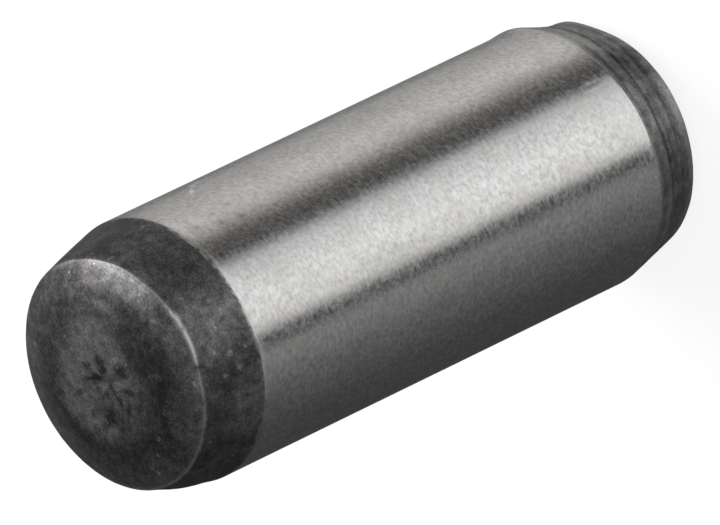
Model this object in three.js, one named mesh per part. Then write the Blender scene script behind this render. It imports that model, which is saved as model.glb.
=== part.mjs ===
// Hardened and ground steel dowel pin with a lead taper and a shallow crown at each end.
// Millimetres, +Z up. The pin stands on the flat land of its lower end, and the origin is that land's centre.
import * as THREE from "three";

// Driving dimensions, in millimetres and degrees.
const PIN_DIAMETER = 6; // ground barrel, which is the size that locates
const PIN_LENGTH = 16; // from one end land to the other
const TOP_TAPER_LENGTH = 1.47; // along the axis, from the barrel to the upper rim
const TOP_TAPER_ANGLE = 13.25; // half angle of the upper taper
const BOTTOM_TAPER_LENGTH = 1.43; // along the axis, from the barrel to the lower rim
const BOTTOM_TAPER_ANGLE = 13.25; // half angle of the lower taper
const CROWN_HEIGHT = 0.32; // how far each end land stands beyond its rim
const SHOULDER_RADIUS = 2.7; // round of the shoulder, which leaves the land tangentially and ends at the rim

// How finely the round surfaces are divided.
const AROUND_SEGMENTS = 96;
const SHOULDER_SEGMENTS = 8;

const barrelRadius = PIN_DIAMETER / 2;

// Radius of the rim, where a taper ends and the crown of its end face starts.
function rimRadius(taperLength, taperAngle) {
  return barrelRadius - taperLength * Math.tan(THREE.MathUtils.degToRad(taperAngle));
}

// One end of the pin, as points of radius and height from the axis outwards to the barrel.
// Height counts from the end land into the pin.
function endProfile(taperLength, taperAngle) {
  const rim = rimRadius(taperLength, taperAngle);
  const shoulderAngle = Math.acos(1 - CROWN_HEIGHT / SHOULDER_RADIUS);
  const landRadius = rim - SHOULDER_RADIUS * Math.sin(shoulderAngle);
  const points = [new THREE.Vector2(0, 0)];
  for (let i = 0; i <= SHOULDER_SEGMENTS; i++) {
    const angle = (shoulderAngle * i) / SHOULDER_SEGMENTS;
    const radius = landRadius + SHOULDER_RADIUS * Math.sin(angle);
    const height = SHOULDER_RADIUS * (1 - Math.cos(angle));
    points.push(new THREE.Vector2(radius, height));
  }
  points.push(new THREE.Vector2(barrelRadius, CROWN_HEIGHT + taperLength));
  return points;
}

// The whole outline, from the lower land's centre up the outside to the upper land's centre.
function pinProfile() {
  const lowerEnd = endProfile(BOTTOM_TAPER_LENGTH, BOTTOM_TAPER_ANGLE);
  const upperEnd = endProfile(TOP_TAPER_LENGTH, TOP_TAPER_ANGLE);
  const upperFromBarrel = upperEnd.reverse().map((point) => new THREE.Vector2(point.x, PIN_LENGTH - point.y));
  return [...lowerEnd, ...upperFromBarrel];
}

const groundSteel = new THREE.MeshStandardMaterial({
  name: "ground_steel",
  color: 0x9a9999,
  metalness: 1,
  roughness: 0.35,
});

function makeDowelPin() {
  const geometry = new THREE.LatheGeometry(pinProfile(), AROUND_SEGMENTS);
  geometry.rotateX(Math.PI / 2); // the lathe turns about Y, the pin about Z
  const pin = new THREE.Mesh(geometry, groundSteel);
  pin.name = "dowel_pin";
  return pin;
}

const part = new THREE.Group();
part.add(makeDowelPin());

export default part;
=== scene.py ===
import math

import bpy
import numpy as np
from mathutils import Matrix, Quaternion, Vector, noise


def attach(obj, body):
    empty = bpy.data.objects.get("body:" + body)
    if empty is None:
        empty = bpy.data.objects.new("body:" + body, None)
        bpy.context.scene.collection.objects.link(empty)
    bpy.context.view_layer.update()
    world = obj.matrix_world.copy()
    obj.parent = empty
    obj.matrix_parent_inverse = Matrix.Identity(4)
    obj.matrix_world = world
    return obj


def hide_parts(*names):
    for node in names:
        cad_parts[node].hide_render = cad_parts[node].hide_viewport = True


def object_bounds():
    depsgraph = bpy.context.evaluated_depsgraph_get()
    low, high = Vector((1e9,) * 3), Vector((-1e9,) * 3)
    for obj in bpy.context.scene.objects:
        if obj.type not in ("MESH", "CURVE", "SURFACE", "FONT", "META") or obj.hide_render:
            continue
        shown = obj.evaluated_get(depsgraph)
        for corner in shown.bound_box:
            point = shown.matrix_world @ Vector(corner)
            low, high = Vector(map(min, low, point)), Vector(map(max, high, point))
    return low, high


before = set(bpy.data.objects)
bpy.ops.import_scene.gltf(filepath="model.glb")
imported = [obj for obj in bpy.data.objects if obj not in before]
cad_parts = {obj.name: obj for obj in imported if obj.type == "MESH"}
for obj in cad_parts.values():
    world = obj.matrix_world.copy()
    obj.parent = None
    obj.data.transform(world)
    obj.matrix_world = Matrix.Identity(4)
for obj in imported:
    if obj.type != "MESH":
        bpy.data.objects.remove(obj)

# A hardened dowel pin standing on its lower end: a ground barrel between two ends that keep their dark heat-treated
# skin. Its fine mesh follows the CAD outline and adds the worn edges, turning rings, pits and cracks.
#
# Lengths are in mm until the mesh is made. Angles round the pin are in degrees, from 0 at +X to 90 at -Y, which the
# camera faces. A place along the outline is its arc length from the centre of the lower face.

cad_low, cad_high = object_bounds()

MM = 0.001  # metres
NODE = "dowel_pin"
BODY = "root"


# ---------------------------------------------------------------- outline, from the CAD node

SAME_PLACE = 0.001  # mm, within which two values are one corner's
EDGE_ROUNDING = 0.022  # mm, how far the corners of the outline are blended
OUTLINE_STEP = 0.004  # mm, between the samples that are blended


def cad_outline(node):
    """The CAD pin's half section in mm, as (radius, height) from the lower face's centre round to the upper face's."""
    vertices = np.array([v.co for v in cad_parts[node].data.vertices]) / MM
    radius = np.hypot(vertices[:, 0], vertices[:, 1])
    corners = np.unique(np.round(np.column_stack([vertices[:, 2], radius]), 4), axis=0)
    on_top = corners[:, 0] > corners[:, 0].max() - SAME_PLACE
    return np.vstack([corners[~on_top], corners[on_top][::-1]])[:, ::-1]


def arc_lengths(points):
    steps = np.hypot(*np.diff(points, axis=0).T)
    return np.concatenate([[0.0], np.cumsum(steps)])


def blended_outline(points):
    """The outline with its corners worn round, sampled finely, and the arc length of each sample."""
    lengths = arc_lengths(points)
    along = np.arange(0.0, lengths[-1], OUTLINE_STEP)
    sampled = np.column_stack([np.interp(along, lengths, points[:, i]) for i in (0, 1)])
    reach = int(4 * EDGE_ROUNDING / OUTLINE_STEP)
    kernel = np.exp(-0.5 * (np.arange(-reach, reach + 1) * OUTLINE_STEP / EDGE_ROUNDING) ** 2)
    kernel /= kernel.sum()
    across_axis = (-1, 1)
    before = sampled[reach:0:-1] * across_axis
    after = sampled[-2:-reach - 2:-1] * across_axis
    padded = np.vstack([before, sampled, after])
    return along, np.column_stack([np.convolve(padded[:, i], kernel, "valid") for i in (0, 1)])


outline = cad_outline(NODE)
outline_lengths = arc_lengths(outline)
barrel_radius = outline[:, 0].max()
pin_length = outline[:, 1].max()
barrel_corners = np.flatnonzero(outline[:, 0] > barrel_radius - SAME_PLACE)
lower_corner, upper_corner = barrel_corners[[0, -1]]
# The arc lengths of the four corners: a rim is where a taper meets its end face, and an edge is where it meets
# the barrel.
lower_rim, lower_edge = outline_lengths[[lower_corner - 1, lower_corner]]
upper_edge, upper_rim = outline_lengths[[upper_corner, upper_corner + 1]]
whole_length = outline_lengths[-1]


# ---------------------------------------------------------------- rows and columns of the mesh

COLUMNS = 352
CORNER_SPACING = 0.016  # mm between rows at a corner
SPACING_GROWTH = 0.22  # how much the spacing grows for each mm away from a corner

# The widest spacing of the rows in mm, which follows how fine the relief there is.
LOWER_FACE_SPACING = 0.14
LOWER_TAPER_SPACING = 0.026
BARREL_SPACING = 0.7
SCRATCHED_SPACING = 0.045
UPPER_END_SPACING = 0.05

SCRATCH = ((1.54, 24.5), (1.82, 19.5), (2.16, 13.1))  # mm below the barrel's upper edge, and the angle there
SCRATCHED_LENGTH = SCRATCH[-1][0] + 0.02


def widest_spacing(at):
    if at < lower_rim:
        return LOWER_FACE_SPACING
    if at < lower_edge:
        return LOWER_TAPER_SPACING
    if upper_edge - SCRATCHED_LENGTH < at < upper_edge:
        return SCRATCHED_SPACING
    if at < upper_edge:
        return BARREL_SPACING
    return UPPER_END_SPACING


def row_positions():
    """The arc length of each row, closer together near the corners."""
    corners = np.array([lower_rim, lower_edge, upper_edge, upper_rim])
    positions = [0.0]
    while positions[-1] < whole_length:
        at = positions[-1]
        nearest = np.abs(corners - at).min()
        positions.append(at + min(CORNER_SPACING + SPACING_GROWTH * nearest, widest_spacing(at)))
    return np.array(positions[1:-1])


samples, blended = blended_outline(outline)
along = row_positions()
row_radius = np.interp(along, samples, blended[:, 0])
row_height = np.interp(along, samples, blended[:, 1])
tangent = np.gradient(blended, axis=0)
tangent /= np.hypot(*tangent.T)[:, None]
row_out = np.interp(along, samples, tangent[:, 1])
row_up = -np.interp(along, samples, tangent[:, 0])

round_the_pin = np.arange(COLUMNS) * 2 * math.pi / COLUMNS
cosine, sine = np.cos(round_the_pin), np.sin(round_the_pin)


def turned(outward, upward):
    """Vectors over the mesh, from each row's outward and upward parts."""
    upward = np.repeat(upward[:, None], COLUMNS, axis=1)
    return np.stack([outward[:, None] * cosine, outward[:, None] * sine, upward], axis=-1)


points = turned(row_radius, row_height)
normals = turned(row_out, row_up)
x, y, z = points[..., 0], points[..., 1], points[..., 2]
at = along[:, None]
facing = np.degrees(np.arctan2(-y, x))


# ---------------------------------------------------------------- how fields over the mesh are made

def smooth_step(value, start, end):
    """A smooth change from 0 at start to 1 at end, whichever of them is larger."""
    t = np.clip((value - start) / (end - start), 0.0, 1.0)
    return t * t * (3 - 2 * t)


def bump(value, centre, width):
    """A smooth bump of height 1 at centre, and about 0 past twice the width."""
    return np.exp(-(((value - centre) / width) ** 2))


def fade(distance, reach):
    """1 where the distance is 0, fading with it to either side."""
    return np.exp(-np.abs(distance) / reach)


def facing_near(angle, spread):
    """A smooth bump of height 1 where the pin's surface faces that angle."""
    return bump((facing - angle + 180) % 360 - 180, 0, spread)


def patches(rows, coordinate):
    """A sum of soft patches. Each row has an angle and its spread, a place along the coordinate and its spread,
    and an amount."""
    total = np.zeros_like(x)
    for angle, spread, place, length, amount in rows:
        total += amount * facing_near(angle, spread) * bump(coordinate, place, length)
    return total


def cloud(size, octaves, seed):
    """Fractal noise of about -1 to 1 over the mesh, with features of that size in mm."""
    scaled = points.reshape(-1, 3) / size + seed * 17.3
    values = [noise.fractal(p, 1.0, 2.0, octaves) for p in scaled.tolist()]
    return np.array(values).reshape(x.shape)


coarse = cloud(size=0.55, octaves=3, seed=1)
middling = cloud(size=0.22, octaves=3, seed=2)
fine = cloud(size=0.09, octaves=2, seed=3)
uneven = cloud(size=0.25, octaves=2, seed=5)

BARREL_FADE_OUT, BARREL_FADE_IN = 0.03, 0.01  # mm beyond the barrel's edges and within them
FACE_FADE_IN = 0.15  # mm past the upper rim
on_barrel = smooth_step(at, lower_edge - BARREL_FADE_OUT, lower_edge + BARREL_FADE_IN)
on_barrel = on_barrel * smooth_step(at, upper_edge + BARREL_FADE_OUT, upper_edge - BARREL_FADE_IN)
on_skin = 1 - on_barrel
on_face = smooth_step(at, upper_rim, upper_rim + FACE_FADE_IN)
on_upper_taper = (at > upper_edge) & (at < upper_rim)
on_lower_taper = (at > lower_rim) & (at < lower_edge)

below_upper_edge = upper_edge - at
above_lower_edge = at - lower_edge
past_rim = at - upper_rim
from_barrel_upwards = np.clip((at - upper_edge) / (upper_rim - upper_edge), 0, 1)  # 0 at the barrel to 1 at the rim
from_barrel_downwards = np.clip((lower_edge - at) / (lower_edge - lower_rim), 0, 1)
right, up = -y, x  # on the upper face, as the camera sees it
from_axis = np.hypot(right, up)


# ---------------------------------------------------------------- relief

# Turning rings on the lower taper: distance from the barrel's edge, width and depth, all in mm.
TURNING_RINGS = (
    (0.17, 0.05, 0.006),
    (0.55, 0.05, 0.015),
    (0.76, 0.05, 0.005),
    (1.04, 0.07, 0.012),
)
# How far a ring strays from its place in mm, and how much of its depth it keeps.
ring_wander = 0.025 * coarse + 0.012 * middling - 0.065 * facing_near(43, 20)
ring_strength = (1 - 0.7 * facing_near(142, 26)) * (1 + 0.5 * uneven)
rings = np.zeros_like(x)
for distance, width, depth in TURNING_RINGS:
    rings += depth * ring_strength * bump(ring_wander - above_lower_edge, distance, width)
rings *= on_lower_taper

# Pits and cracks on the upper face: right and up in mm as the camera sees it, angle in degrees, half length and half
# width in mm, and how much darker they are. Those below zero are pale patches, with no relief.
FACE_MARKS = (
    (0.03, 0.31, 85, 0.20, 0.12, 0.52),
    (-0.35, 0.08, -14, 0.32, 0.10, 0.50),
    (0.53, -0.05, 0, 0.23, 0.15, 0.52),
    (0.06, -0.38, -86, 0.32, 0.06, 0.50),
    (-0.40, 0.38, -35, 0.16, 0.08, 0.36),
    (-1.00, -0.10, 10, 0.17, 0.10, 0.34),
    (-0.33, -0.74, 30, 0.22, 0.11, 0.42),
    (-0.62, -0.98, 35, 0.24, 0.12, 0.26),
    (-0.12, -1.05, 80, 0.22, 0.12, 0.42),
    (0.25, -0.88, 20, 0.18, 0.10, 0.36),
    (0.64, -0.86, 10, 0.24, 0.10, 0.22),
    (0.36, -0.42, -30, 0.18, 0.07, 0.28),
    (-0.66, -0.62, -20, 0.20, 0.12, 0.30),
    (0.08, -0.68, 75, 0.22, 0.10, 0.26),
    (0.60, -0.58, -35, 0.22, 0.10, 0.30),
    (-0.36, -1.04, -50, 0.26, 0.12, 0.26),
    (-0.30, -0.42, 20, 0.16, 0.10, 0.26),
    (-1.32, 0.58, 65, 0.50, 0.20, 0.16),
    (0.68, -1.73, 0, 0.40, 0.20, 0.16),
    (0.60, 0.22, 0, 0.22, 0.06, -0.14),
    (-0.14, -0.20, 10, 0.24, 0.07, -0.18),
    (0.32, -0.68, 40, 0.20, 0.09, 0.22),
    (0.08, -1.12, 60, 0.22, 0.10, 0.24),
    (1.44, -0.42, 0, 0.20, 0.11, -0.26),
    (0.90, 1.28, -38, 0.50, 0.32, -0.28),
    (0.48, 0.98, -20, 0.24, 0.12, 0.14),
    (0.24, 1.74, -10, 0.36, 0.24, -0.20),
    (1.42, 2.04, -45, 0.22, 0.12, 0.10),
    (0.12, 2.40, 0, 0.22, 0.10, 0.12),
    (0.74, 2.20, -20, 0.40, 0.20, 0.06),
    (-0.62, 0.72, 0, 0.22, 0.14, 0.16),
    (0.70, 0.10, 40, 0.16, 0.07, -0.14),
    (-0.34, -0.20, 0, 0.14, 0.08, 0.18),
    (-1.20, 0.34, 80, 0.30, 0.14, 0.16),
    (-0.30, -0.88, 60, 0.20, 0.10, 0.28),
    (0.97, 0.30, 90, 0.24, 0.10, 0.14),
)
marks = np.zeros_like(x)
for mark_right, mark_up, angle, half_length, half_width, darkness in FACE_MARKS:
    direction = math.radians(angle)
    across, above = right - mark_right + 0.05 * middling, up - mark_up + 0.07 * uneven
    lengthwise = across * math.cos(direction) + above * math.sin(direction)
    sideways = above * math.cos(direction) - across * math.sin(direction) + 0.06 * fine
    marks += darkness * np.exp(-((lengthwise / half_length) ** 2 + (sideways / half_width) ** 2) ** 1.5)
marks *= on_face

# A pale patch round the face's middle, where the skin is pitted.
PATCH_RIGHT, PATCH_UP = -0.29, -0.02  # mm
from_patch = np.hypot(right - PATCH_RIGHT, up - PATCH_UP)
pitted = smooth_step(middling + 0.4 * coarse, 0.18, 0.5) * smooth_step(from_patch, 1.3, 0.8) * on_face

# The upper rim is rubbed bright between two angles, and stands a little proud there.
BURR_START, BURR_END = 73, 104
BURR_HEIGHT, BURR_WIDTH = 0.030, 0.07  # mm
burr = smooth_step(facing, BURR_START - 4, BURR_START + 6) * smooth_step(facing, BURR_END + 3, BURR_END - 3)

SKIN_RELIEF = 0.004  # mm, either way
MARK_DEPTH = 0.022  # mm, for each unit of darkness
PIT_DEPTH = 0.006
LAND_SHARE = 0.6  # of the lower face, from its centre, which stays flat for the pin to stand on
relief = on_skin * SKIN_RELIEF * (coarse + 0.6 * middling) - rings
relief -= MARK_DEPTH * np.maximum(marks, 0) + PIT_DEPTH * pitted
relief += BURR_HEIGHT * burr * bump(past_rim, 0, BURR_WIDTH)
relief *= smooth_step(at, lower_rim * LAND_SHARE, lower_rim)

# The tapers swell a little, and their rims are worn. Each row has an angle and its spread, an arc length and its
# spread, and a height in mm.
upper_middle, lower_middle = (upper_edge + upper_rim) / 2, (lower_edge + lower_rim) / 2
SWELLINGS = (
    (186, 30, upper_middle + 0.05, 0.45, 0.056),
    (30, 36, upper_rim, 0.30, -0.075),
    (41, 6, upper_rim, 0.12, 0.009),
    (51, 5, upper_rim, 0.12, -0.014),
    (61, 6, upper_rim, 0.12, -0.018),
    (110, 10, upper_rim, 0.12, -0.040),
    (-80, 28, upper_rim, 0.20, 0.020),
    (12, 13, lower_middle - 0.80, 0.24, 0.072),
    (12, 14, lower_middle - 0.15, 0.22, -0.014),
    (8, 13, lower_edge - 0.10, 0.24, 0.050),
    (32, 18, lower_rim, 0.22, -0.050),
    (84, 24, lower_rim, 0.25, 0.022),
)
swelling = patches(SWELLINGS, at)

# The edge between the lower taper and the barrel wanders. Each row has an angle and its spread, an arc length and
# its spread, and how much higher in mm the edge lies.
EDGE_DRIFT = (
    (54, 22, lower_edge, 0.6, 0.05),
    (135, 30, lower_edge, 0.6, -0.05),
)
drift = patches(EDGE_DRIFT, at)


# ---------------------------------------------------------------- the dark skin's lightness, from 0 to 1, with its painted highlights and shade

# Stains on the tapers, and on the lower taper also a painted highlight along the barrel's edge near 42 degrees: an
# angle and its spread, the place and its spread along the taper, from 0 at the barrel to 1 at the rim, and how much
# lighter it is.
LOWER_STAINS_AND_PAINTED_HIGHLIGHT = (
    (32, 24, 0.50, 0.90, 0.13),
    (42, 20, 0.00, 0.18, 0.30),
    (42, 20, 0.23, 0.09, 0.27),
    (18, 10, 0.06, 0.12, -0.14),
    (55, 8, 0.13, 0.10, -0.60),
    (63, 5, 0.10, 0.08, -0.20),
    (64, 9, 0.50, 0.90, -0.16),
    (56, 7, 0.50, 0.18, -0.10),
    (52, 8, 0.82, 0.12, -0.14),
    (34, 8, 0.54, 0.12, 0.16),
    (72, 6, 0.55, 0.12, 0.16),
    (100, 5, 0.63, 0.10, 0.14),
    (97, 5, 0.34, 0.06, -0.10),
    (101, 6, 0.18, 0.20, 0.20),
    (111, 7, 0.50, 0.14, -0.16),
    (98, 10, 0.92, 0.09, 0.18),
    (105, 9, 0.98, 0.07, 0.24),
    (112, 9, 0.69, 0.08, 0.18),
    (56, 5, 0.75, 0.07, 0.20),
    (124, 26, 0.50, 0.90, 0.08),
    (152, 16, 0.45, 0.60, 0.18),
)
UPPER_STAINS = (
    (118, 6, 0.42, 0.22, -0.18),
    (102, 5, 0.15, 0.16, -0.14),
    (85, 6, 0.44, 0.20, 0.10),
    (102, 7, 0.78, 0.20, 0.12),
    (104, 4, 0.47, 0.12, 0.14),
    (111, 6, 0.92, 0.12, -0.14),
    (103.7, 1.2, 0.47, 0.035, 0.85),
    (100.6, 1.0, 0.71, 0.030, 0.60),
    (110.6, 1.2, 0.37, 0.040, 0.65),
    (112.7, 1.0, 0.62, 0.035, 0.65),
)
# Whole sides of the upper taper, lighter or darker: an angle and its spread, and how much lighter it is.
UPPER_TAPER_SIDES = (
    (86, 8, 0.10),
    (16, 34, -0.16),
    (168, 22, -0.10),
)
# A painted highlight along the upper rim, by mm past it towards the axis: an angle and its spread, the place and its
# spread, and how much lighter it is.
RIM_PAINTED_HIGHLIGHTS = (
    (42, 24, 0.11, 0.05, 0.170),
    (118, 14, 0.06, 0.05, 0.119),
    (129, 10, 0.02, 0.06, 0.102),
    (40, 16, -0.01, 0.05, 0.204),
)
# Painted light on the upper face, by mm from the axis: painted highlights along the rim at 40 and 113 degrees, and
# painted shade that narrows the highlight's crescent. Each row has an angle and its spread, the place and its spread,
# and how much lighter it is.
FACE_PAINTED_HIGHLIGHTS_AND_SHADE = (
    (40, 11, 2.50, 0.06, 0.136),
    (113, 17, 2.53, 0.07, 0.153),
    (2, 13, 2.33, 0.16, -0.12),
    (38, 34, 2.33, 0.16, -0.11),
    (77, 8, 2.50, 0.09, -0.20),
    (24, 9, 2.50, 0.09, -0.06),
    (52, 14, 2.59, 0.03, -0.13),
)
# Painted light on the sides of the upper face: a painted highlight on the side at 50 degrees, where the lamp's
# highlight falls, and painted shade on the other sides. Each row has an angle and its spread, the mm from the axis
# where it starts and is full, and how much lighter it is.
FACE_SIDES_PAINTED_LIGHT = (
    (50, 22, 1.9, 2.2, 0.08),
    (-2, 20, 1.9, 2.2, -0.08),
    (170, 50, 1.2, 1.8, -0.16),
    (235, 45, 1.2, 1.8, -0.16),
    (272, 34, 1.2, 1.8, -0.08),
    (70, 13, 1.9, 2.15, -0.11),
)
LOWER_END_TONE = 0.62
UPPER_TAPER_TONE = 0.44
FACE_TONE = 0.29
# The turning rings' grooves are darker by their depth: darker scale kept in them, and also painted shade.
RING_SCALE_AND_SHADE = 20.0  # for each mm of depth
CRACK_ANGLE = 104.3  # where a crack crosses the upper rim
SHOULDER_RADIUS = 2.03  # mm, outside which the upper face is lighter
BLOTCH_ANGLE, BLOTCH_PLACE = 129, 0.42  # where the upper taper is lighter, the place in mm past the barrel
HOLLOW_RIGHT, HOLLOW_UP = 1.35, -0.10  # mm, where the upper face is darker to one side of the pits
SHADE_RIGHT, SHADE_UP = -0.12, -0.18  # mm, where it is darkest among them

patch_edge = from_patch + 0.3 * coarse - 0.25 * facing_near(30, 35)
patch = smooth_step(patch_edge, 1.55, 0.95) * on_face
shoulder_blur = 0.05 + 0.4 * (1 - facing_near(64, 48))
shoulder = smooth_step((from_axis + 0.05 * coarse - SHOULDER_RADIUS) / shoulder_blur, -1, 1) * on_face
centre_shade = bump(np.hypot(right - SHADE_RIGHT, up - SHADE_UP), 0, 0.75) * on_face
hollow = bump(np.hypot(right - HOLLOW_RIGHT, (up - HOLLOW_UP) / 1.6), 0, 0.62) * on_face
from_blotch = np.hypot((facing - BLOTCH_ANGLE) / 15, (below_upper_edge + BLOTCH_PLACE) / 0.55)
blotch = smooth_step(from_blotch + 0.5 * coarse, 1.2, 0.6) * on_upper_taper
crack = facing_near(CRACK_ANGLE, 0.9) * bump(past_rim, 0.02, 0.10)

tone = np.full_like(x, UPPER_TAPER_TONE) + (FACE_TONE - UPPER_TAPER_TONE) * on_face
lower_tone = LOWER_END_TONE + 0.10 * bump(from_barrel_downwards, 0.25, 0.12)
lower_tone += 0.28 * smooth_step(from_barrel_downwards, 0.78, 0.93)
tone = np.where(at < lower_edge, lower_tone, tone)
tone += 0.14 * coarse + 0.10 * middling + 0.05 * fine + 0.08 * middling * (patch + on_lower_taper)
tone += (0.42 + 0.07 * up) * patch + 0.22 * shoulder + 0.24 * blotch - 0.16 * hollow - 0.13 * centre_shade
# Stains on the lower taper, with a painted highlight along the barrel's edge.
tone += patches(LOWER_STAINS_AND_PAINTED_HIGHLIGHT, from_barrel_downwards) * on_lower_taper
tone += patches(UPPER_STAINS, from_barrel_upwards) * on_upper_taper
for angle, spread, lighter in UPPER_TAPER_SIDES:
    tone += lighter * facing_near(angle, spread) * on_upper_taper
# Painted highlights along the upper rim, and painted highlights and painted shade on the face's outer part.
tone += patches(RIM_PAINTED_HIGHLIGHTS, past_rim) + patches(FACE_PAINTED_HIGHLIGHTS_AND_SHADE, from_axis) * on_face
# Painted highlight and painted shade on the sides of the upper face.
for angle, spread, start, full, lighter in FACE_SIDES_PAINTED_LIGHT:
    tone += lighter * facing_near(angle, spread) * smooth_step(from_axis, start, full) * on_face
tone -= marks + 0.20 * pitted + 0.35 * crack + RING_SCALE_AND_SHADE * rings
tone = np.clip(tone, 0, 1)


# ---------------------------------------------------------------- where the skin is worn through to bright metal

# Along the upper rim, the barrel's upper edge and its lower edge, and at single points of the skin.
worn_rim = (0.18 + 0.56 * burr) * bump(past_rim, 0.014, 0.043 + 0.012 * burr)
worn_rim *= smooth_step(middling + 0.6 * fine + facing_near(95.5, 3), -1.2, 0.2) * (1 - 0.8 * crack)
chips = (0.30 + 0.5 * facing_near(60, 16) + 0.35 * facing_near(86, 13)) * bump(below_upper_edge, -0.035, 0.03)
chips *= smooth_step(fine + 0.5 * middling, -0.5, 0.3)
thinning = 0.5 * fade(np.minimum(above_lower_edge, 0), 0.07)
thinning = thinning + 0.22 * facing_near(40, 14) * bump(above_lower_edge, 0, 0.30)
thinning *= (0.85 + 0.5 * fine) * on_lower_taper
flecks = 0.4 * smooth_step(fine + 0.35 * middling + 0.2 * coarse, 0.86, 0.95) * on_skin
bare = np.clip(np.maximum.reduce([worn_rim, chips, thinning, flecks]), 0, 1)


# ---------------------------------------------------------------- wear and painted glints on the barrel: rubbed and glinting above 0, duller below 0

# Where it is rubbed, and where painted glints brighten it, by mm below its upper edge: an angle and its spread, the
# place and its spread, and how much.
UPPER_RUBBING_AND_GLINTS = (
    (64, 6, 0.06, 0.06, 0.30),
    (106, 4, 0.06, 0.06, 0.55),
    (118, 8, 0.06, 0.06, 0.20),
    (74, 7, 0.10, 0.12, 0.22),
    (104, 3, 3.60, 1.00, 0.10),
)
# The same by mm above its lower edge. The row at 92 degrees is a painted glint near the edge.
LOWER_RUBBING_AND_GLINTS = (
    (92, 4, 0.20, 0.20, 0.25),
    (102, 4, 0.08, 0.10, 0.35),
    (69, 3, 1.80, 0.60, 0.09),
    (68, 2, 0.15, 0.25, 0.40),
)
# Short lines along the barrel, in the same way: those below zero are dark.
SHORT_LINES = (
    (66.4, 0.7, 0.60, 0.30, 0.55),
    (69.6, 0.7, 0.60, 0.30, 0.35),
    (68.0, 0.6, 0.60, 0.30, -0.40),
)
# Dark specks: an angle, mm below the upper edge, radius in mm and darkness.
SPECKS = (
    (42.3, 1.66, 0.07, 0.50),
    (43.9, 1.12, 0.06, 0.50),
    (50.2, 1.04, 0.09, 0.60),
    (47.2, 0.42, 0.15, 0.40),
    (52.0, 1.62, 0.11, 0.40),
)
NICK, TAIL = 1.70, 2.05  # mm below the upper edge, where the scratch is widest and brightest
LEAST_RUBBING = 0.02  # below which the dulling shows instead

mm_per_degree = math.radians(barrel_radius)
nick = bump(below_upper_edge, NICK, 0.11)
tail = bump(below_upper_edge, TAIL, 0.07)
scratch_angle = np.interp(below_upper_edge, *zip(*SCRATCH))
scratch = bump((facing - scratch_angle) * mm_per_degree, 0, 0.04 + 0.02 * nick + 0.05 * tail)
scratch *= 0.35 + 0.65 * nick + 0.60 * tail
scratch *= (below_upper_edge > SCRATCH[0][0]) & (below_upper_edge < SCRATCH[-1][0])

# Rubbing, with painted glints at spots near the barrel's edges.
rubbing_and_glints = patches(UPPER_RUBBING_AND_GLINTS, below_upper_edge) + patches(LOWER_RUBBING_AND_GLINTS, above_lower_edge)
rubbing_and_glints += 0.14 * facing_near(76, 9) * smooth_step(above_lower_edge, 3.0, 0.0)
rubbed_and_glints = np.maximum(scratch, rubbing_and_glints * on_barrel) + patches(SHORT_LINES, above_lower_edge) * on_barrel

dull = (0.30 - 0.20 * facing_near(85, 18)) * fade(below_upper_edge, 0.06)
dull += (0.16 - 0.10 * facing_near(80, 12)) * fade(above_lower_edge, 0.08)
dull += 0.15 * facing_near(42, 20) * fade(above_lower_edge, 0.20)
dull += 0.06 * facing_near(80, 14) * smooth_step(below_upper_edge, 4.0, 0.0)
dull += 0.16 * facing_near(95, 4) * bump(below_upper_edge, 4.6, 1.0)
for angle, place, radius, darkness in SPECKS:
    aside = (facing - angle) * mm_per_degree
    dull += darkness * bump(np.hypot(aside, below_upper_edge - place), 0, radius)
dull *= 0.85 + 0.3 * fine
wear_and_glints = np.clip(np.where(np.abs(rubbed_and_glints) > LEAST_RUBBING, rubbed_and_glints, -dull), -1, 1)


# ---------------------------------------------------------------- the mesh

points += normals * relief[..., None]
x += swelling * cosine
y += swelling * sine
z += drift


STEEL_MARGIN = 0.02  # mm, how far the ground steel goes past the barrel's edges


def make_pin():
    """Closes the rows of points into one solid skin, with a point on the axis at each end."""
    row_count = len(along)
    lower_centre = row_count * COLUMNS
    upper_centre = lower_centre + 1
    ends = [(0, 0, 0), (0, 0, pin_length + points[-1, :, 2].mean() - row_height[-1])]
    vertices = np.vstack([points.reshape(-1, 3), ends]) * MM
    faces = []
    for row in range(row_count - 1):
        for column in range(COLUMNS):
            after = (column + 1) % COLUMNS
            lower, upper = row * COLUMNS, (row + 1) * COLUMNS
            faces.append((lower + column, lower + after, upper + after, upper + column))
    last = (row_count - 1) * COLUMNS
    for column in range(COLUMNS):
        after = (column + 1) % COLUMNS
        faces.append((lower_centre, after, column))
        faces.append((upper_centre, last + column, last + after))
    mesh = bpy.data.meshes.new("dowel_pin_skin")
    mesh.from_pydata(vertices.tolist(), [], faces)
    mesh.update()
    for name, field in (("tone", tone), ("bare", bare), ("wear_and_glints", wear_and_glints)):
        values = np.concatenate([field.ravel(), [field[0].mean(), field[-1].mean()]])
        mesh.attributes.new(name, "FLOAT", "POINT").data.foreach_set("value", values)
    mesh.shade_smooth()
    pin = bpy.data.objects.new("dowel_pin_skin", mesh)
    bpy.context.scene.collection.objects.link(pin)
    mesh.materials.append(ground_steel())
    mesh.materials.append(heat_skin())
    is_barrel = (along > lower_edge - STEEL_MARGIN) & (along < upper_edge + STEEL_MARGIN)
    per_face = np.repeat((~(is_barrel[:-1] & is_barrel[1:])).astype(np.int32), COLUMNS)
    slots = np.concatenate([per_face, np.ones(2 * COLUMNS, np.int32)])
    mesh.polygons.foreach_set("material_index", slots)
    return pin


# ---------------------------------------------------------------- materials

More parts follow.
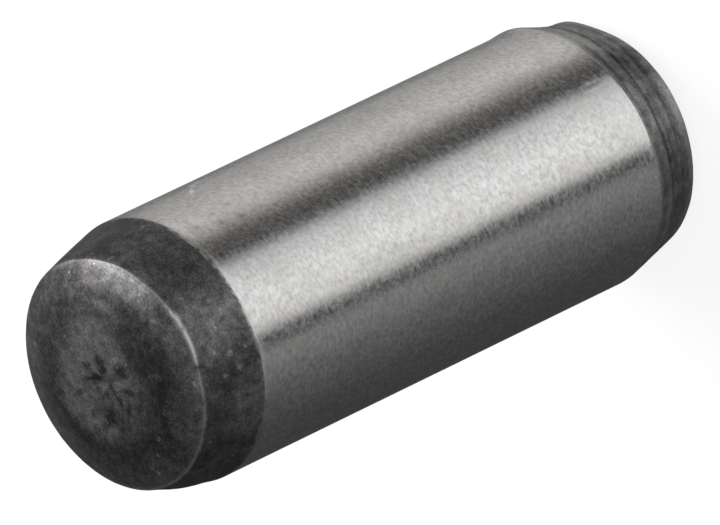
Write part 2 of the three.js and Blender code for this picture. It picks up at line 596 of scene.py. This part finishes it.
class Nodes:
    """Adds nodes to a tree and links their inputs."""

    def __init__(self, tree):
        self.tree = tree

    def set_input(self, socket, value):
        if isinstance(value, bpy.types.NodeSocket):
            self.tree.links.new(value, socket)
        else:
            socket.default_value = value

    def add(self, kind, inputs=None, **settings):
        node = self.tree.nodes.new(kind)
        for name, value in settings.items():
            setattr(node, name, value)
        for name, value in (inputs or {}).items():
            self.set_input(node.inputs[name], value)
        return node

    def math(self, operation, first, second=0.0):
        return self.add("ShaderNodeMath", {0: first, 1: second}, operation=operation).outputs[0]

    def rescale(self, value, low, high, from_low=0.0, from_high=1.0):
        inputs = {"Value": value, "From Min": from_low, "From Max": from_high, "To Min": low, "To Max": high}
        return self.add("ShaderNodeMapRange", inputs).outputs["Result"]

    def mix_colours(self, factor, first, second, blend_type="MIX"):
        node = self.add("ShaderNodeMix", data_type="RGBA", blend_type=blend_type)
        factor_in, first_in, second_in = node.inputs[0], node.inputs[6], node.inputs[7]
        for socket, value in ((factor_in, factor), (first_in, first), (second_in, second)):
            self.set_input(socket, value)
        return node.outputs[2]

    def ramp(self, value, levels):
        """A colour ramp, from rows with a position from 0 to 1, a level, and how warm its grey is, if it is."""
        node = self.add("ShaderNodeValToRGB", {"Fac": value})
        elements = node.color_ramp.elements
        while len(elements) < len(levels):
            elements.new(1.0)
        for element, (position, level, *warm) in zip(elements, levels):
            warmth = sum(warm)
            element.position = position
            element.color = (level * (1 + warmth), level, level * (1 - warmth), 1.0)
        return node.outputs["Color"]

    def noise(self, coordinates, per_mm, detail):
        """Noise with that many features to a millimetre along each axis."""
        mapped = self.add("ShaderNodeMapping", {"Vector": coordinates, "Scale": [n / MM for n in per_mm]})
        inputs = {"Vector": mapped.outputs[0], "Scale": 1.0, "Detail": detail}
        return self.add("ShaderNodeTexNoise", inputs).outputs["Fac"]

    def field(self, name):
        """A field of the mesh, such as its wear."""
        return self.add("ShaderNodeAttribute", attribute_name=name).outputs["Fac"]

    def bump(self, height, distance):
        inputs = {"Height": height, "Strength": 1.0, "Distance": distance}
        return self.add("ShaderNodeBump", inputs).outputs[0]


def new_material(name):
    material = bpy.data.materials.new(name)
    material.use_nodes = True
    material.node_tree.nodes.clear()
    return material, Nodes(material.node_tree)


def grey(level):
    return (level, level, level, 1.0)


# Colours of the ground barrel: between the fine marks and on them, and where it is faintly stained.
STEEL_LOW = (0.44, 0.437, 0.434, 1)
STEEL_HIGH = (0.72, 0.716, 0.711, 1)
STEEL_STAIN = (0.42, 0.41, 0.40, 1)
DULLED = grey(0.10)
# Rubbed steel; the same colour paints glints near the barrel's edges.
RUBBED_AND_GLINT = grey(0.9)
STEEL_GRAIN_DEPTH = 0.0004 * MM

# How light the dark skin is at each tone.
SKIN_LIGHTNESS = (
    (0.0, 0.018),
    (0.25, 0.048),
    (0.5, 0.10),
    (0.75, 0.18),
    (1.0, 0.30),
)
WARM_TINT = (1.025, 0.993, 0.985, 1)
COOL_TINT = (0.985, 1.0, 1.0, 1)
BARE_METAL = (0.62, 0.61, 0.60, 1)
SKIN_GRAIN_DEPTH = 0.0038 * MM


def ground_steel():
    """Hardened steel, ground bright: short fine marks run round the barrel, with a faint mottle between them."""
    material, nodes = new_material("ground_steel")
    place = nodes.add("ShaderNodeTexCoord").outputs["Object"]
    marks = nodes.noise(place, (5.0, 5.0, 18.0), 2.0)
    mottle = nodes.noise(place, (10.5, 10.5, 10.5), 2.0)
    stain = nodes.noise(place, (1.1, 1.1, 1.1), 3.0)
    # The wear field brightens rubbed steel and painted glints, and darkens dull steel.
    wear_and_glints = nodes.field("wear_and_glints")
    scratches_and_glints = nodes.math("MAXIMUM", wear_and_glints, 0.0)
    dulled = nodes.math("MAXIMUM", nodes.math("MULTIPLY", wear_and_glints, -1.0), 0.0)
    texture = nodes.math("ADD", nodes.math("MULTIPLY", marks, 0.35), nodes.math("MULTIPLY", mottle, 0.65))
    colour = nodes.mix_colours(nodes.rescale(texture, 0, 1, 0.33, 0.67), STEEL_LOW, STEEL_HIGH)
    colour = nodes.mix_colours(nodes.rescale(stain, 0, 0.35, 0.5, 0.75), colour, STEEL_STAIN)
    colour = nodes.mix_colours(dulled, colour, DULLED)
    colour = nodes.mix_colours(scratches_and_glints, colour, RUBBED_AND_GLINT)
    shader = nodes.add("ShaderNodeBsdfPrincipled", {
        "Base Color": colour,
        "Metallic": nodes.rescale(scratches_and_glints, 1.0, 0.5),
        "Roughness": nodes.rescale(texture, 0.18, 0.30, 0.3, 0.7),
        "Anisotropic": 0.4,
        "Anisotropic Rotation": 0.25,
        "Normal": nodes.bump(nodes.math("ADD", nodes.math("MULTIPLY", marks, 0.7), mottle), STEEL_GRAIN_DEPTH),
        "Tangent": nodes.add("ShaderNodeTangent", direction_type="RADIAL", axis="Z").outputs[0],
    })
    nodes.add("ShaderNodeOutputMaterial", {"Surface": shader.outputs[0]})
    return material


def heat_skin():
    """The dark scale that hardening leaves: mottled grey to near black, worn to bright metal along its edges. Its tone
    field also holds painted highlights and painted shade.
    """
    material, nodes = new_material("heat_skin")
    place = nodes.add("ShaderNodeTexCoord").outputs["Object"]
    mottle = nodes.noise(place, (5.0, 5.0, 5.0), 4.0)
    speck = nodes.noise(place, (19.0, 19.0, 19.0), 2.0)
    temper = nodes.noise(place, (0.5, 0.5, 0.5), 1.0)
    worn = nodes.field("bare")
    mottling = nodes.rescale(mottle, -0.12, 0.12, 0.3, 0.7)
    specking = nodes.rescale(speck, -0.165, 0.165, 0.3, 0.7)
    lightness = nodes.math("ADD", nodes.field("tone"), nodes.math("ADD", mottling, specking))
    tint = nodes.mix_colours(nodes.rescale(temper, 0, 1, 0.4, 0.6), WARM_TINT, COOL_TINT)
    colour = nodes.mix_colours(1.0, nodes.ramp(lightness, SKIN_LIGHTNESS), tint, "MULTIPLY")
    colour = nodes.mix_colours(worn, colour, BARE_METAL)
    shader = nodes.add("ShaderNodeBsdfPrincipled", {
        "Base Color": colour,
        "Metallic": nodes.rescale(worn, 0.8, 1.0),
        "Roughness": nodes.rescale(worn, 0.42, 0.30),
        "Normal": nodes.bump(nodes.math("ADD", mottle, nodes.math("MULTIPLY", speck, 0.4)), SKIN_GRAIN_DEPTH),
    })
    nodes.add("ShaderNodeOutputMaterial", {"Surface": shader.outputs[0]})
    return material


PAPER = grey(0.9)
WHITE_STRENGTH = 1.12
WHITE_SHARE = (0.76, 1.0)  # how white the floor is near the pin, and far from it
WHITE_FADE = (10 * MM, 60 * MM)  # between which distances from the pin it turns so


def floor_white():
    """White paper that shows the pin's shadow faintly near its foot."""
    material, nodes = new_material("floor_white")
    place = nodes.add("ShaderNodeTexCoord").outputs["Object"]
    away = nodes.add("ShaderNodeVectorMath", {0: place}, operation="LENGTH").outputs["Value"]
    paper = nodes.add("ShaderNodeBsdfDiffuse", {"Color": PAPER})
    white = nodes.add("ShaderNodeEmission", {"Color": grey(1.0), "Strength": WHITE_STRENGTH})
    share = nodes.rescale(away, *WHITE_SHARE, *WHITE_FADE)
    mixed = nodes.add("ShaderNodeMixShader", {0: share, 1: paper.outputs[0], 2: white.outputs[0]})
    nodes.add("ShaderNodeOutputMaterial", {"Surface": mixed.outputs[0]})
    return material


# ---------------------------------------------------------------- studio

# What the steel mirrors near the horizon and below it, by compass angle from +Y towards +X in degrees: pale panels,
# and the dark gaps between them. Each has its level, and how warm its light is.
PANELS = (
    (0, 0.36, 0.000),
    (10, 0.27, 0.004),
    (20, 0.18, 0.008),
    (28, 0.24, 0.008),
    (38, 0.42, 0.010),
    (60, 0.55, 0.015),
    (84, 0.80, 0.020),
    (98, 0.69, 0.030),
    (105, 0.41, 0.035),
    (114, 0.13, 0.030),
    (132, 0.06, 0.000),
    (143, 0.83, 0.000),
    (172, 1.24, 0.000),
    (198, 1.01, 0.008),
    (206, 0.06, 0.010),
    (213, 0.08, 0.000),
    (219, 0.335, 0.008),
    (250, 0.165, 0.000),
    (285, 0.08, 0.000),
    (330, 0.055, 0.000),
    (350, 0.055, 0.000),
    (360, 0.36, 0.000),
)
PANEL_LEAN = 0.6  # radians, scaled by how far towards +X and how high
LEVEL_LEAN = 0.656  # how much of it the panels have at the horizon

# The levels of the room above them, which takes over between two heights in degrees.
ROOM = (
    (0, 0.22),
    (60, 0.30),
    (110, 0.70),
    (150, 0.95),
    (200, 0.95),
    (250, 0.50),
    (290, 0.08),
    (330, 0.07),
    (360, 0.22),
)
ROOM_START, ROOM_FULL = 20, 42
ROOM_LEAST = 0.22  # no direction above the horizon is darker than this
LEAST_FADE = -0.35  # how far down, as a sine, that least light fades out


def by_compass(rows):
    """The rows of a ramp, with their compass angles as shares of a turn."""
    return [(angle / 360, *light) for angle, *light in rows]


def make_world():
    """The light of the studio: panels near the horizon, and a plainer room above them."""
    world = bpy.data.worlds.new("studio")
    bpy.context.scene.world = world
    world.use_nodes = True
    world.node_tree.nodes.clear()
    nodes = Nodes(world.node_tree)
    direction = nodes.add("ShaderNodeTexCoord").outputs["Generated"]
    split = nodes.add("ShaderNodeSeparateXYZ", {0: direction}).outputs
    compass = nodes.math("ARCTAN2", split["X"], split["Y"])
    # The panels on the +X side lean, so that their edges turn with height.
    towards = nodes.math("MAXIMUM", split["X"], 0.0)
    lean = nodes.math("MULTIPLY", towards, nodes.math("ADD", split["Z"], LEVEL_LEAN))
    compass = nodes.math("SUBTRACT", compass, nodes.math("MULTIPLY", lean, PANEL_LEAN))
    turn = nodes.math("FRACT", nodes.math("ADD", nodes.math("DIVIDE", compass, 2 * math.pi), 1.0))
    heights = [math.sin(math.radians(height)) for height in (ROOM_START, ROOM_FULL)]
    above = nodes.rescale(split["Z"], 0.0, 1.0, *heights)
    surroundings = nodes.mix_colours(above, nodes.ramp(turn, by_compass(PANELS)), nodes.ramp(turn, by_compass(ROOM)))
    least = nodes.rescale(split["Z"], 0.0, ROOM_LEAST, LEAST_FADE, 0.0)
    surroundings = nodes.add("ShaderNodeVectorMath", {0: surroundings, 1: least}, operation="MAXIMUM").outputs[0]
    # The camera sees plain white instead.
    seen = nodes.add("ShaderNodeLightPath").outputs["Is Camera Ray"]
    shown = nodes.mix_colours(seen, surroundings, grey(1.0))
    background = nodes.add("ShaderNodeBackground", {"Color": shown, "Strength": 1.0})
    nodes.add("ShaderNodeOutputWorld", {"Surface": background.outputs[0]})


KEY_COMPASS, KEY_HEIGHT = 58, 46  # degrees
KEY_DISTANCE = 250 * MM
KEY_SIZE = 170 * MM
KEY_POWER = 0.42  # watts


def make_key_light():
    """One soft lamp, high on the +X side."""
    lamp = bpy.data.lights.new("key", "AREA")
    lamp.shape = "DISK"
    lamp.size = KEY_SIZE
    lamp.energy = KEY_POWER
    light = bpy.data.objects.new("key", lamp)
    compass, height = math.radians(KEY_COMPASS), math.radians(KEY_HEIGHT)
    level = math.cos(height)
    towards = Vector((math.sin(compass) * level, math.cos(compass) * level, math.sin(height)))
    light.location = centre + towards * KEY_DISTANCE
    light.rotation_mode = "QUATERNION"
    light.rotation_quaternion = towards.to_track_quat("Z", "Y")
    bpy.context.scene.collection.objects.link(light)


FLOOR_REACH = 3.0  # metres


def make_floor():
    """The floor, which only the camera sees, so that the steel mirrors the studio alone."""
    corners = [(-1, -1), (1, -1), (1, 1), (-1, 1)]
    mesh = bpy.data.meshes.new("floor")
    mesh.from_pydata([(i * FLOOR_REACH, j * FLOOR_REACH, 0) for i, j in corners], [], [(0, 1, 2, 3)])
    mesh.materials.append(floor_white())
    floor = bpy.data.objects.new("floor", mesh)
    floor.location.z = cad_low.z
    floor.visible_glossy = False
    floor.visible_diffuse = False
    floor.visible_shadow = False
    bpy.context.scene.collection.objects.link(floor)


# ---------------------------------------------------------------- camera

CAMERA_ELEVATION = 40.69  # degrees
CAMERA_ROLL = -115.68  # degrees, which lays the standing pin across the picture
CAMERA_DISTANCE = 430.5 * MM
CAMERA_CLIP = (0.01, 2.0)  # metres
LENS = 1000.0  # mm, so that the pin is seen from far away
SENSOR_WIDTH = 36.0  # mm
AIM_RIGHT, AIM_UP = -0.044 * MM, -0.172 * MM  # how far the view's centre is from the pin's middle


def make_camera():
    """A long lens at the photo's viewing angle, on the standing pin."""
    camera_data = bpy.data.cameras.new("camera")
    camera_data.lens = LENS
    camera_data.sensor_width = SENSOR_WIDTH
    camera_data.clip_start, camera_data.clip_end = CAMERA_CLIP
    camera = bpy.data.objects.new("camera", camera_data)
    elevation = math.radians(CAMERA_ELEVATION)
    back = Vector((0, -math.cos(elevation), math.sin(elevation)))
    rolled = back.to_track_quat("Z", "Y") @ Quaternion((0, 0, 1), math.radians(CAMERA_ROLL))
    aim = centre + rolled @ Vector((AIM_RIGHT, AIM_UP, 0))
    camera.location = aim + back * CAMERA_DISTANCE
    camera.rotation_mode = "QUATERNION"
    camera.rotation_quaternion = rolled
    bpy.context.scene.collection.objects.link(camera)
    bpy.context.scene.camera = camera


# ---------------------------------------------------------------- the scene

centre = (cad_low + cad_high) / 2

make_camera()
make_world()
make_key_light()
make_floor()

pin = make_pin()
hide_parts(NODE)
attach(pin, BODY)

bpy.context.scene.view_settings.view_transform = "Standard"
